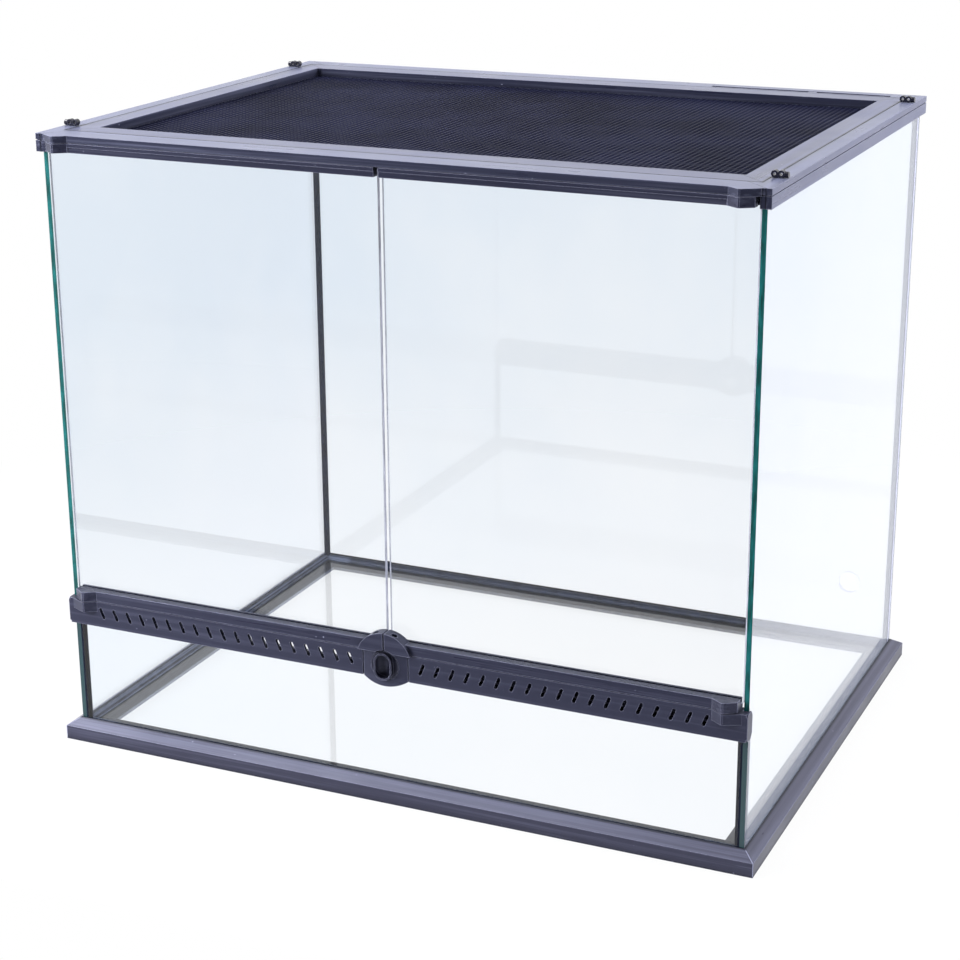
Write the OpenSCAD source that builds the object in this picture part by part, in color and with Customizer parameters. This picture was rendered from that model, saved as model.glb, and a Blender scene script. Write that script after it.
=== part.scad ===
// Front-opening glass reptile terrarium.
// X runs left to right, Y runs front to back and Z is up.
// The origin is the middle of the base frame's underside.

/* [Overall size] */
// Width of the base frame, left to right
base_w = 615; // [520:1:900]
// Depth of the base frame, front to back
base_d = 465; // [380:1:600]
// Height of the top frame's upper face above the table
total_h = 522; // [420:1:700]

/* [Glass] */
// Thickness of the side, back and lower front panes
pane_t = 4; // [3:0.5:5]
// Thickness of the floor pane
floor_t = 5; // [4:0.5:8]
// Thickness of the two door panes
door_t = 4; // [3:0.5:5]
// Radius of the hole for a pipe or cable in the back pane
port_r = 10; // [6:0.5:14]
// Distance from the back pane's right edge to the hole's centre
port_inset = 39; // [25:1:100]
// Height of the hole's centre above the table
port_z = 70; // [45:1:95]
// Width of the black sealant beads
bead = 4.5; // [3:0.5:7]

/* [Base frame] */
// Height of the upright skirt
skirt_h = 12; // [10:0.5:14]
// Height of the sloping rim where it meets the glass
rim_h = 18; // [16:0.5:24]
// Width of the rim outside the glass
rim_w = 10.5; // [9:0.5:16]
// Wall thickness of the skirt
skirt_t = 3; // [2:0.5:5]
// Height of the ledge that the panes stand on
ledge_z = 8; // [6:0.5:9]
// Thickness of that ledge
ledge_t = 3; // [2:0.5:4]
// Reach of the ledge under the floor pane
ledge_w = 17; // [10:1:24]

/* [Top frame] */
// Height of the frame's outer wall
frame_h = 14.5; // [14:0.5:18]
// Overhang of the frame past the glass
overhang = 4; // [3:0.5:4.5]
// Width of the side rims beside the lid
side_rim = 13; // [12.5:0.5:20]
// Width of the front and rear rims beside the lid
end_rim = 20; // [20:0.5:30]
// Height of the lip in front of the lid, above the doors
lip_h = 5.6; // [4:0.1:6]
// Reach of the inner ledge under the lid
lid_ledge = 9; // [6:0.5:12]
// Depth of the shadow groove round the outer wall
groove_d = 0.8; // [0.4:0.1:1.2]
// Length of the cable inlet in the rear rim
inlet_len = 161; // [100:1:180]
// Width of the cable inlet
inlet_w = 6; // [5:0.5:6]
// Distance from the frame's right side to the inlet's end
inlet_in = 28; // [20:1:60]

/* [Lid] */
// Height of the lid frame
lid_h = 11; // [9:0.5:12]
// Width of the lid frame's side bars
lid_side = 16; // [14:0.5:30]
// Width of the lid frame's front and rear bars
lid_end = 19.5; // [14:0.5:30]
// Gap between the lid and the top frame
lid_gap = 0.5; // [0.3:0.1:0.8]
// How far the lid's inner walls lean outwards at their upper edge
lid_lean = 2.5; // [0.5:0.5:4]
// Thickness of the screen
screen_t = 1.6; // [0.8:0.1:2]
// Number of openings across the screen
screen_cols = 12; // [6:1:12]
// Number of openings from the screen's front to its rear
screen_rows = 9; // [4:1:12]
// Width of the bars between the screen's openings
screen_bar = 4; // [3:0.5:8]
// Depth of the screen below the lid's upper face
screen_drop = 7.4; // [4:0.1:7.5]
// Width of the screen's clamped edge
screen_grip = 4; // [3:0.5:6]
// Distance from the top frame's front and rear faces to each lid clip
clip_in = 41; // [40:1:120]
// Radius of a lid clip's two eyelets
clip_r = 2.6; // [2.4:0.1:3.2]
// Reach of a lid clip's lever from its pin
clip_len = 10; // [8:0.5:10]

/* [Vent strip] */
// Height of the vent strip's lower edge above the table
strip_z = 108.5; // [90:0.5:140]
// Height of the vent strip's face
strip_h = 22.3; // [22:0.1:30]
// Depth of the vent strip's face in front of the glass
strip_out = 7; // [6.5:0.5:7.5]
// Wall thickness of the vent strip
strip_t = 2.4; // [1.5:0.1:3]
// Distance between neighbouring vent slots
slot_pitch = 13; // [9:0.5:20]
// Width of a vent slot
slot_w = 2.9; // [1.5:0.1:3.5]
// Length of a vent slot
slot_len = 10.6; // [7:0.1:12]
// Lean of the vent slots from upright, in degrees
slot_lean = 22; // [0:1:35]

/* [Doors] */
// Gap between the two door panes, and between their top rails
door_gap = 4; // [3:0.1:5]
// Gap between the doors' ears, and between their bottom rails
ear_gap = 1.4; // [1.2:0.1:2.4]
// Height of the doors' bottom rails
rail_h = 8.4; // [8:0.1:14]
// Height of the doors' top rails
top_rail_h = 7.4; // [6:0.1:8]
// Distance from the side glass's outer face to the hinge axis
hinge_in = 17; // [16:0.5:18]
// Distance from the hinge axis to the ridge of its knuckle
ridge_out = 4.5; // [4:0.1:5]
// Radius of the hinge pins
pin_r = 1.5; // [1:0.1:2]
// Height of the hinge bosses on the vent strips
boss_h = 8.6; // [7:0.1:12]

/* [Lock] */
// Half of the lock housing's width
lock_hw = 19.3; // [18.8:0.1:24]
// Radius of the turning knob
knob_r = 12; // [11.6:0.1:14.5]
// Half width of the knob's oval grip
grip_hw = 7.6; // [6:0.1:8]
// How far the grip stands out in front of the housing
grip_out = 3.6; // [2:0.1:5]
// Reach of the latch plate from the knob's axis
cam_r = 17; // [16:0.1:17.2]
// Outer radius of the two door ears
ear_r = 24.2; // [22:0.1:30]
// Radius of the knob's spindle
spindle_r = 3; // [2:0.1:4]
// Radius of the holes in the top of the ears
ear_hole_r = 2.6; // [1:0.1:2.8]

/* [Hidden] */
$fn = 48;

eps = 0.01;             // overlap of a cutting tool past the face it cuts
far = 50;               // reach of a tool that must pass right through
fit = 0.2;              // gap round a pane in its plastic channel
run = 0.06;             // radial running clearance of a pin in its bore
part_gap = 0.4;         // gap between a door rail and the fixed plastic
side_seal = 1.5;        // width of the sealant at each end of the lower front pane
clip_pin_r = 1.4;       // radius of a lid clip's pin

// Glass box
gx = base_w / 2 - rim_w;        // outer face of the side panes
gy = base_d / 2 - rim_w;        // outer face of the front and back panes
ix = gx - pane_t;               // inner face of the side panes
iy = gy - pane_t;               // inner face of the front and back panes
floor_z = ledge_z + floor_t;    // upper face of the floor pane
frame_z = total_h - frame_h;    // lower edge of the top frame's outer wall
channel_h = 4.5;                // depth of the top frame's channel for the panes
glass_top = frame_z + channel_h;

// Top frame and lid
fx = gx + overhang;             // outer face of the top frame's sides
fy = gy + overhang;             // outer face of the top frame's front and back
rx = fx - side_rim;             // lid recess, half width
ry = fy - end_rim;              // lid recess, half depth
lid_x = rx - lid_gap;
lid_y = ry - lid_gap;
clip_x = lid_x + clip_r + 0.3;  // axis of a lid clip, so that its head stays beside the lid
clip_y = fy - clip_in;
lid_z = total_h - lid_h;        // underside of the lid
screen_top = total_h - screen_drop;
lid_foot = 1;                   // upright foot of the lid's inner walls, above the screen
open_x = lid_x - lid_side - lid_lean;   // half width of the lid's opening at its foot
open_y = lid_y - lid_end - lid_lean;    // half depth of that opening
screen_x = open_x + screen_grip;
screen_y = open_y + screen_grip;
bar_t = (screen_t - 0.1) / 2;   // thickness of one of the screen's two layers of bars
lip_z = total_h - lip_h;
lip_y = -fy - 2.5;              // front face of the lip over the doors
door_bay = 10;                  // depth of the space the doors' upper edge turns in
groove_w = 0.8;

// Cable inlet and its slide
inlet_y = ry + 5.8;             // middle of the inlet
inlet_x1 = fx - inlet_in;
inlet_x0 = inlet_x1 - inlet_len;
track_side = 1.2;               // how far the slide's track reaches into each wall
track_h = 2.4;
track_z = lip_z + 0.1;
slide_gap = 0.2;
slide_len = 70;
slide_x = inlet_x0 + inlet_len * 0.57;
tab_len = 7;

// Vent strips
strip_top = strip_z + strip_h;
strip_y = -gy - strip_out;      // front face of the vent strips
pane_grip = 8.2;                // height of the lower front pane inside the strip
front_top = strip_z + pane_grip;
strip_x0 = lock_hw + 1;         // inner end of a vent strip
strip_back = 2.2;               // thickness of the strip's rear wall
wrap = 1.2;                     // strip's cheek on the side pane's outer face
slot_z = strip_z + strip_h * 0.56;
first_slot = 11.2;              // from the strip's inner end to its first slot
slot_x0 = strip_x0 + first_slot;
slot_end = 14;                  // space that the last slot leaves beside the hinge axis
slot_n = floor((gx - hinge_in - slot_end - slot_x0) / slot_pitch) + 1;
rib_step = 5;                   // a locating rib stands after every fifth slot, past the first
rear_n = 8;                     // slots of the left strip that light shows through
rear_x = 6.4;                   // how far the first opening behind them is set outwards
rear_drop = 5.9;                // and how far down
rear_w = 4.1;
rear_pitch = slot_pitch - 0.26; // smaller than the slots' own, so the openings close in turn
rear_low = strip_z + 6.2;       // lower edge of these openings

// Hinges
hx = gx - hinge_in;
boss_out = 9;                   // how far the ridges stand out in front of the top frame
boss_y = -fy - boss_out;
hy = boss_y + ridge_out;
boss_flat = 0.8;                // half of the ridge's narrow flat
boss_run = 9;                   // length of the slanted side next to the middle
boss_x0 = hx - boss_flat - boss_run;
boss_x1 = ix + 0.5;             // outer end of a boss
door_x1 = ix - 1;               // outer edge of a door pane
rail_x1 = ix - 3;               // outer end of a door rail
door_x0 = door_gap / 2;
ear_x0 = ear_gap / 2;
rail_y = -gy - 7;               // front face of the door rails
rail_back = -gy + door_t + 2.2; // rear face of the door rails
rail_z0 = strip_top + 0.6;
rail_z1 = rail_z0 + rail_h;
door_z0 = rail_z1 - 3.4;        // lower edge of a door pane
top_rail_z1 = lip_z - part_gap;
top_rail_z0 = top_rail_z1 - top_rail_h;
door_z1 = top_rail_z0 + 4.6;    // upper edge of a door pane
pin_in = 6;                     // depth of a pin in the boss or the rail

// Lock
knob_up = 11.7;                 // height of the knob's axis above the strip's lower edge
lock_z = strip_z + knob_up;
lock_sag = 35;                  // radius of the housing's curved lower edge
lock_low = strip_z - 6;         // lowest point of the housing
lock_face = -gy - 9;            // front of the housing
face_r = 90;                    // radius of the housing's bulging face
knob_face = lock_face - grip_out;       // front of the oval grip
disc_face = lock_face + 0.4;    // front of the round disc behind it
knob_t = 3.7;                   // thickness of that disc
grip_hh = knob_r - 0.6;         // half height of the grip
grip_wall = 1.3;                // width of the grip's rim
hollow_r = 7;                   // radius of the hollow that a finger goes in
cam_t = 2;
cam_y = disc_face + knob_t + 0.6;
cam_half = 28;                  // half of the latch plate's angle
lock_gap = 1.4;                 // gap between the knob and the doors
pocket_r = cam_r + 0.4;
housing_back = rail_back + 0.4;
washer_t = 1;
screw_r = 1.5;
screw_head_r = 3;
screw_head_t = 1.8;
drive_w = 1.2;                  // width of the cross in the screw's head
drive_deep = 1;
ear_front = lock_face - 1.5;
ear_up = 3.4;                   // height of the ears' centre above the knob's axis
ear_hole_x = 8;

// ---- shared shapes ----

// Block given by its two corners
module block(x0, x1, y0, y1, z0, z1) {
    translate([x0, y0, z0]) cube([x1 - x0, y1 - y0, z1 - z0]);
}

// Block centred on the Z axis
module slab(hx, hy, z0, z1) {
    block(-hx, hx, -hy, hy, z0, z1);
}

// Upright cylinder between two heights
module post(x, y, r, z0, z1) {
    translate([x, y, z0]) cylinder(r = r, h = z1 - z0);
}

// Turns a drawing in X and Z into a plate between two depths
module plate_y(y0, y1) {
    translate([0, y1, 0]) rotate([90, 0, 0]) linear_extrude(y1 - y0) children();
}

// Cylinder along Y between two depths
module rod_y(x, z, r, y0, y1) {
    plate_y(y0, y1) translate([x, z]) circle(r);
}

// One side of a mitred frame: a profile of reach and height, swept along X
module mitred_side(w, d, deep) {
    intersection() {
        translate([-w / 2, -d / 2, 0]) rotate([90, 0, 90]) linear_extrude(w) children();
        translate([0, 0, -far]) linear_extrude(4 * far)
            polygon([[-w / 2, -d / 2], [w / 2, -d / 2], [w / 2 - deep, -d / 2 + deep],
                [-w / 2 + deep, -d / 2 + deep]]);
    }
}

// Four mitred sides round a rectangle
module mitred_frame(w, d, deep) {
    mitred_side(w, d, deep) children();
    rotate([0, 0, 180]) mitred_side(w, d, deep) children();
    rotate([0, 0, 90]) mitred_side(d, w, deep) children();
    rotate([0, 0, 270]) mitred_side(d, w, deep) children();
}

// Copies its children at the mirrored left side
module left_hand() {
    mirror([1, 0, 0]) children();
}

// ---- base and panes ----

module base_profile() {
    polygon([[0, 0], [0, skirt_h], [rim_w - 1, rim_h], [rim_w - fit, rim_h],
        [rim_w - fit, ledge_z], [rim_w + pane_t + ledge_w, ledge_z],
        [rim_w + pane_t + ledge_w, ledge_z - ledge_t], [skirt_t, ledge_z - ledge_t],
        [skirt_t, 0]]);
}

module base_frame() {
    color("#4a4a58") mitred_frame(base_w, base_d, rim_w + pane_t + ledge_w + 5)
        base_profile();
}

module floor_glass() {
    color("#cfe3ea") slab(ix, iy, ledge_z, floor_z);
}

module back_glass() {
    color("#d8e8ee") difference() {
        block(-ix, ix, iy, gy, ledge_z, glass_top);
        rod_y(ix - port_inset, port_z, port_r, iy - eps, gy + eps);
    }
}

module side_glass() {
    block(ix, gx, -gy, gy, ledge_z, glass_top);
}

module left_side_glass() {
    color("#d8e8ee") left_hand() side_glass();
}

module right_side_glass() {
    color("#d8e8ee") side_glass();
}

module lower_front_glass() {
    color("#d8e8ee") block(-ix + side_seal, ix - side_seal, -gy, -iy, ledge_z, front_top);
}

// ---- sealant ----

// Hollow fillet in the corner of two faces, as a profile
module fillet_profile() {
    difference() {
        square(bead);
        translate([bead, bead]) circle(bead * 0.82);
    }
}

// Upright fillet in the right rear corner
module rear_bead() {
    translate([ix, iy, floor_z + bead]) rotate([0, 0, 180])
        linear_extrude(frame_z - floor_z - bead) fillet_profile();
}

// Sealant between the lower front pane and the right side pane
module front_bead() {
    block(ix - side_seal, ix, -gy, -iy, ledge_z, front_top);
    translate([ix, -iy, floor_z + bead]) rotate([0, 0, 90])
        linear_extrude(strip_z - floor_z - bead) fillet_profile();
}

module corner_sealant() {
    color("#14141a") {
        rear_bead();
        left_hand() rear_bead();
        front_bead();
        left_hand() front_bead();
    }
}

module floor_sealant() {
    color("#14141a") translate([0, 0, floor_z])
        mitred_frame(2 * ix, 2 * iy, 2 * bead) fillet_profile();
}

// ---- top frame ----

// Plan of a hinge boss: two slanted sides that meet at a ridge in front of the pin
module boss_plan(x1, side_y, face_y) {
    polygon([[x1, -gy], [x1, side_y], [hx + boss_flat, boss_y], [hx - boss_flat, boss_y],
        [boss_x0, face_y], [boss_x0, -gy]]);
}

// Half of the lip over the doors, with its boss
module top_lip() {
    translate([0, 0, lip_z]) linear_extrude(lip_h) {
        boss_plan(boss_x1, -fy - 1, lip_y);
        translate([-1, lip_y]) square([boss_x0 + 1.5, -gy - lip_y]);
    }
}

// Channel for the side and back panes
module pane_channel() {
    difference() {
        slab(gx + fit, gy + fit, frame_z - eps, glass_top);
        slab(ix - fit, iy - fit, frame_z - 2 * eps, glass_top + eps);
    }
}

module cable_inlet() {
    block(inlet_x0, inlet_x1, inlet_y - inlet_w / 2, inlet_y + inlet_w / 2, frame_z - far,
        total_h + far);
    block(inlet_x0, inlet_x1, inlet_y - inlet_w / 2 - track_side,
        inlet_y + inlet_w / 2 + track_side, track_z, track_z + track_h);
}

module shadow_groove() {
    difference() {
        slab(fx + far, fy + far, lip_z, lip_z + groove_w);
        slab(fx - groove_d, fy - groove_d, lip_z - eps, lip_z + groove_w + eps);
    }
}

module clip_places() {
    for (sx = [-1, 1], sy = [-1, 1]) translate([sx * clip_x, sy * clip_y, 0]) children();
}

module top_frame() {
    color("#4f4f5e") difference() {
        union() {
            difference() {
                slab(fx, fy, frame_z, total_h);
                slab(rx, ry, lid_z, total_h + eps);
                slab(rx - lid_ledge, ry - lid_ledge, frame_z - eps, total_h);
                pane_channel();
                shadow_groove();
                block(-ix + 0.5, ix - 0.5, -fy - eps, -gy + door_bay, frame_z - eps, lip_z);
            }
            top_lip();
            left_hand() top_lip();
        }
        cable_inlet();
        for (s = [-1, 1]) post(s * hx, hy, pin_r + run, lip_z - eps, lip_z + lip_h - 1);
        clip_places() post(0, 0, clip_pin_r + run, lid_z + 1.5, total_h + eps);
    }
}

module cable_slide() {
    color("#5a5a6a") {
        block(slide_x - slide_len / 2, slide_x + slide_len / 2,
            inlet_y - inlet_w / 2 - track_side + slide_gap,
            inlet_y + inlet_w / 2 + track_side - slide_gap,
            track_z, track_z + track_h - slide_gap);
        block(slide_x - tab_len / 2, slide_x + tab_len / 2, inlet_y - inlet_w / 2 + slide_gap,
            inlet_y + inlet_w / 2 - slide_gap, track_z, total_h - slide_gap);
    }
}

// ---- lid ----

module lid_frame() {
    color("#50505f") difference() {
        slab(lid_x, lid_y, lid_z, total_h);
        slab(open_x, open_y, lid_z - eps, total_h + eps);
        slab(screen_x, screen_y, lid_z - eps, screen_top);
        // leaning inner walls
        mitred_frame(2 * (open_x + lid_lean), 2 * (open_y + lid_lean), lid_lean + 2)
            polygon([[0, total_h + eps], [lid_lean, screen_top + lid_foot],
                [lid_lean + 1, screen_top + lid_foot], [lid_lean + 1, total_h + eps]]);
    }
}

// One layer of the screen: bars with n openings between them, and a wider bar at each edge
// for the clamp
module screen_bars(n, half, length, z0) {
    step = 2 * half / n;
    edge = screen_grip + screen_bar / 2;
    for (i = [1 : n - 1]) translate([-half + i * step, 0, 0])
        slab(screen_bar / 2, length, z0, z0 + bar_t);
    for (s = [-1, 1]) translate([s * (half + screen_grip - edge / 2), 0, 0])
        slab(edge / 2, length, z0, z0 + bar_t);
}

module lid_screen() {
    color("#1c1c26") {
        screen_bars(screen_cols, open_x, screen_y, screen_top - bar_t);
        rotate([0, 0, 90])
            screen_bars(screen_rows, open_y, screen_x, screen_top - screen_t);
    }
}

module screen_retainer() {
    color("#3a3a46") difference() {
        slab(screen_x, screen_y, lid_z, screen_top - screen_t);
        slab(screen_x - screen_grip, screen_y - screen_grip, lid_z - eps, screen_top);
    }
}

clip_lift = 0.3;                // gap under a clip
clip_w = 4.4;                   // width of its eyelets
eyelet_step = 4.8;              // distance between the two eyelets
eyelet_hole = 1.1;              // radius of the hole through each
lever_r = 2.2;
clip_mid = total_h + clip_lift + clip_r;

// Two eyelets over the pin, and a barrel lever that points away from the lid
module clip() {
    difference() {
        union() {
            for (x = [0, eyelet_step]) rod_y(x, clip_mid, clip_r, -clip_w / 2, clip_w / 2);
            block(-clip_pin_r, eyelet_step, -clip_w / 2, clip_w / 2, total_h + clip_lift,
                clip_mid - eyelet_hole);
            translate([eyelet_step, 0, total_h + clip_lift + lever_r]) rotate([0, 90, 0])
                cylinder(r = lever_r, h = clip_len - eyelet_step);
        }
        for (x = [0, eyelet_step]) rod_y(x, clip_mid, eyelet_hole, -clip_w, clip_w);
    }
}

// Pin between a clip and the frame's side rim
module clip_pin() {
    post(0, 0, clip_pin_r, lid_z + 2, total_h + clip_lift);
}

module at_right(sy) {
    translate([clip_x, sy * clip_y, 0]) children();
}

module front_right_clip() {
    color("#23232e") at_right(-1) clip();
}

module rear_right_clip() {
    color("#23232e") at_right(1) clip();
}

module front_left_clip() {
    color("#23232e") left_hand() at_right(-1) clip();
}

module rear_left_clip() {
    color("#23232e") left_hand() at_right(1) clip();
}

module front_right_clip_pin() {
    color("silver") at_right(-1) clip_pin();
}

module rear_right_clip_pin() {
    color("silver") at_right(1) clip_pin();
}

module front_left_clip_pin() {
    color("silver") left_hand() at_right(-1) clip_pin();
}

module rear_left_clip_pin() {
    color("silver") left_hand() at_right(1) clip_pin();
}

// ---- vent strips ----

// One slanting slot with round ends
module slot_shape(w = slot_w) {
    rotate(-slot_lean) {
        square([w, slot_len - w], center = true);
        for (s = [-1, 1]) translate([0, s * (slot_len - w) / 2]) circle(w / 2);
    }
}

module slot_row() {
    for (i = [0 : slot_n - 1])
        plate_y(strip_y - eps, rail_back + eps)
            translate([slot_x0 + i * slot_pitch, slot_z]) slot_shape();
}

// Openings in the rear wall behind the slots next to the lock
module rear_openings() {
    for (i = [0 : rear_n - 1])
        plate_y(-iy - eps, rail_back + eps) intersection() {
            translate([slot_x0 + rear_x + i * rear_pitch, slot_z - rear_drop])
                slot_shape(rear_w);
            translate([0, rear_low]) square([gx, strip_h]);
        }
}

// Cheek that wraps the side pane's outer face
module strip_cheek() {
    translate([gx, 0, 0]) rotate([90, 0, 90]) linear_extrude(wrap)
        polygon([[strip_y, strip_z + 2], [strip_y + 2, strip_z], [-gy + 2, strip_z],
            [-gy + 5, strip_z + 4], [-gy + 5, strip_top - 4], [-gy + 2, strip_top],
            [strip_y + 2, strip_top], [strip_y, strip_top - 2]]);
}

module strip_body() {
    // face, top web, lower lip and rear wall
    block(strip_x0, gx, strip_y, strip_y + strip_t, strip_z, strip_top);
    block(strip_x0, ix - 0.5, strip_y, rail_back, strip_top - strip_t, strip_top);
    block(strip_x0, gx, strip_y, -gy, strip_z, strip_z + strip_t);
    block(strip_x0, ix - 0.5, -iy, rail_back, strip_z + 4, strip_top);
    // solid end in front of the side pane, with the hinge boss
    block(hx - boss_flat, gx, strip_y, -gy, strip_z, strip_top);
    translate([0, 0, strip_top - boss_h]) linear_extrude(boss_h)
        boss_plan(boss_x1, strip_y, strip_y);
    strip_cheek();
    // ribs that sit on the lower front pane
    for (i = [2 * rib_step : rib_step : slot_n - 1])
        block(slot_x0 + (i - 0.5) * slot_pitch - 1, slot_x0 + (i - 0.5) * slot_pitch + 1,
            strip_y + eps, rail_back, front_top, strip_top - eps);
}

module vent_strip() {
    difference() {
        strip_body();
        slot_row();
        post(hx, hy, pin_r + run, strip_top - pin_in - 0.5, strip_top + eps);
    }
}

module right_vent_strip() {
    color("#454552") vent_strip();
}

module left_vent_strip() {
    color("#454552") left_hand() difference() {
        vent_strip();
        rear_openings();
    }
}

// ---- doors ----

module door_glass() {
    block(door_x0, door_x1, -gy, -gy + door_t, door_z0, door_z1);
}

// Block at the outer end of a door rail, round its hinge pin
module knuckle(z, h) {
    translate([0, 0, z]) linear_extrude(h) boss_plan(rail_x1, rail_y, rail_y);
}

module top_rail() {
    difference() {
        union() {
            block(door_x0, rail_x1, rail_y, rail_back, top_rail_z0, top_rail_z1);
            knuckle(top_rail_z0, top_rail_h);
        }
        door_glass();
        // step along the front face
        block(door_x0 - eps, boss_x0 - 0.5, rail_y - eps, rail_y + 0.7,
            top_rail_z0 - eps, top_rail_z1 - 3);
        post(hx, hy, pin_r, top_rail_z1 - pin_in, top_rail_z1 + eps);
    }
}

module rail_volume() {
    block(ear_x0, rail_x1, rail_y, rail_back, rail_z0, rail_z1);
}

module lock_clearance() {
    rod_y(0, lock_z, knob_r + lock_gap, -gy - far, -gy + far);
    rod_y(0, lock_z, pocket_r, cam_y - 0.5, cam_y + cam_t + 0.5);
}

module bottom_rail() {
    difference() {
        union() {
            rail_volume();
            knuckle(rail_z0, rail_h);
        }
        door_glass();
        lock_clearance();
        // bevel along the upper front edge
        translate([ear_x0 - eps, rail_y, rail_z1]) rotate([45, 0, 0])
            cube([boss_x0 - ear_x0 - 0.5, 1.4, 1.4]);
        post(hx, hy, pin_r, rail_z0 - eps, rail_z0 + pin_in);
    }
}

// Half of the domed boss above the lock
module door_ear() {
    difference() {
        plate_y(ear_front, -gy) intersection() {
            translate([0, lock_z + ear_up]) circle(ear_r);
            translate([ear_x0, rail_z0]) square([ear_r, ear_r]);
        }
        rail_volume();
        lock_clearance();
        post(ear_hole_x, ear_front + 4, ear_hole_r, rail_z1 + 0.5, rail_z1 + far);
    }
}

module door_pins() {
    post(hx, hy, pin_r, strip_top - pin_in, rail_z0 + pin_in);
    post(hx, hy, pin_r, top_rail_z1 - pin_in, lip_z + lip_h - 1.5);
}

module right_door_glass() {
    color("#d8e8ee") door_glass();
}

module left_door_glass() {
    color("#d8e8ee") left_hand() door_glass();
}

module right_door_top_rail() {
    color("#3c3c49") top_rail();
}

module left_door_top_rail() {
    color("#3c3c49") left_hand() top_rail();
}

module right_door_bottom_rail() {
    color("#3c3c49") bottom_rail();
}

module left_door_bottom_rail() {
    color("#3c3c49") left_hand() bottom_rail();
}

module right_door_ear() {
    color("#40404d") door_ear();
}

module left_door_ear() {
    color("#40404d") left_hand() door_ear();
}

module right_door_pins() {
    color("silver") door_pins();
}

module left_door_pins() {
    color("silver") left_hand() door_pins();
}

// ---- lock ----

module housing_outline() {
    intersection() {
        translate([-lock_hw, lock_low]) square([2 * lock_hw, strip_top - lock_low]);
        translate([0, lock_low + lock_sag]) circle(lock_sag);
    }
}

module lock_housing() {
    color("#474755") difference() {
        union() {
            intersection() {
                plate_y(lock_face - 1, -gy) housing_outline();
                post(0, lock_face + face_r, face_r, 0, total_h);
            }
            // bridge over the lower front pane and the clamp behind it
            block(-lock_hw, lock_hw, -gy, housing_back, front_top, strip_top);
            block(-lock_hw, lock_hw, -iy, housing_back, strip_z, strip_top);
        }
        rod_y(0, lock_z, knob_r + 0.4, lock_face - far, cam_y - 0.5);
        rod_y(0, lock_z, pocket_r, cam_y - 0.6, cam_y + cam_t + 0.5);
        rod_y(0, lock_z, spindle_r + run, cam_y, housing_back + eps);
    }
}

// Upright oval with round ends, of a given half width and half height
module oval(hw, hh) {
    square([2 * hw, 2 * (hh - hw)], center = true);
    for (s = [-1, 1]) translate([0, s * (hh - hw)]) circle(hw);
}

module lock_knob() {
    color("#3f3f4c") difference() {
        union() {
            rod_y(0, lock_z, knob_r, disc_face, disc_face + knob_t);
            plate_y(knob_face, disc_face + 1) translate([0, lock_z]) oval(grip_hw, grip_hh);
            rod_y(0, lock_z, spindle_r, disc_face + knob_t - eps, housing_back + fit);
        }
        // hollow for a finger
        intersection() {
            plate_y(knob_face - 1, disc_face + knob_t) translate([0, lock_z])
                oval(grip_hw - grip_wall, grip_hh - grip_wall);
            post(0, knob_face - 0.8, hollow_r, 0, total_h);
        }
        rod_y(0, lock_z, screw_r, housing_back - 8, housing_back + 1);
    }
}

module lock_cam() {
    color("silver") difference() {
        plate_y(cam_y, cam_y + cam_t) translate([0, lock_z]) {
            circle(spindle_r + 3);
            intersection() {
                circle(cam_r);
                polygon([[0, 0], [far * cos(cam_half), -far * sin(cam_half)],
                    [far * cos(cam_half), far * sin(cam_half)]]);
            }
        }
        rod_y(0, lock_z, spindle_r, cam_y - eps, cam_y + cam_t + eps);
    }
}

module lock_washer() {
    color("silver") difference() {
        rod_y(0, lock_z, spindle_r + 2.2, housing_back + fit, housing_back + fit + washer_t);
        rod_y(0, lock_z, screw_r + 0.1, housing_back, housing_back + 2 * washer_t);
    }
}

module lock_screw() {
    head_y = housing_back + fit + washer_t;
    color("silver") difference() {
        union() {
            rod_y(0, lock_z, screw_r, housing_back - 6, head_y);
            rod_y(0, lock_z, screw_head_r, head_y, head_y + screw_head_t);
        }
        for (a = [0, 90]) translate([0, head_y + screw_head_t, lock_z]) rotate([0, a, 0])
            cube([2 * screw_r, 2 * drive_deep, drive_w], center = true);
    }
}

base_frame();
floor_glass();
back_glass();
left_side_glass();
right_side_glass();
lower_front_glass();
floor_sealant();
corner_sealant();
top_frame();
left_vent_strip();
right_vent_strip();
lock_housing();
left_door_glass();
left_door_top_rail();
left_door_bottom_rail();
left_door_ear();
left_door_pins();
right_door_glass();
right_door_top_rail();
right_door_bottom_rail();
right_door_ear();
right_door_pins();
lock_knob();
lock_cam();
lock_washer();
lock_screw();
lid_frame();
lid_screen();
screen_retainer();
front_left_clip();
front_right_clip();
rear_left_clip();
rear_right_clip();
front_left_clip_pin();
front_right_clip_pin();
rear_left_clip_pin();
rear_right_clip_pin();
cable_slide();
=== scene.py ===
"""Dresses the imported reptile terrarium: panes, plastics, sealant, steel and the lid's screen."""
import math

import bmesh
import bpy
from mathutils import Matrix, Vector


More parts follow.
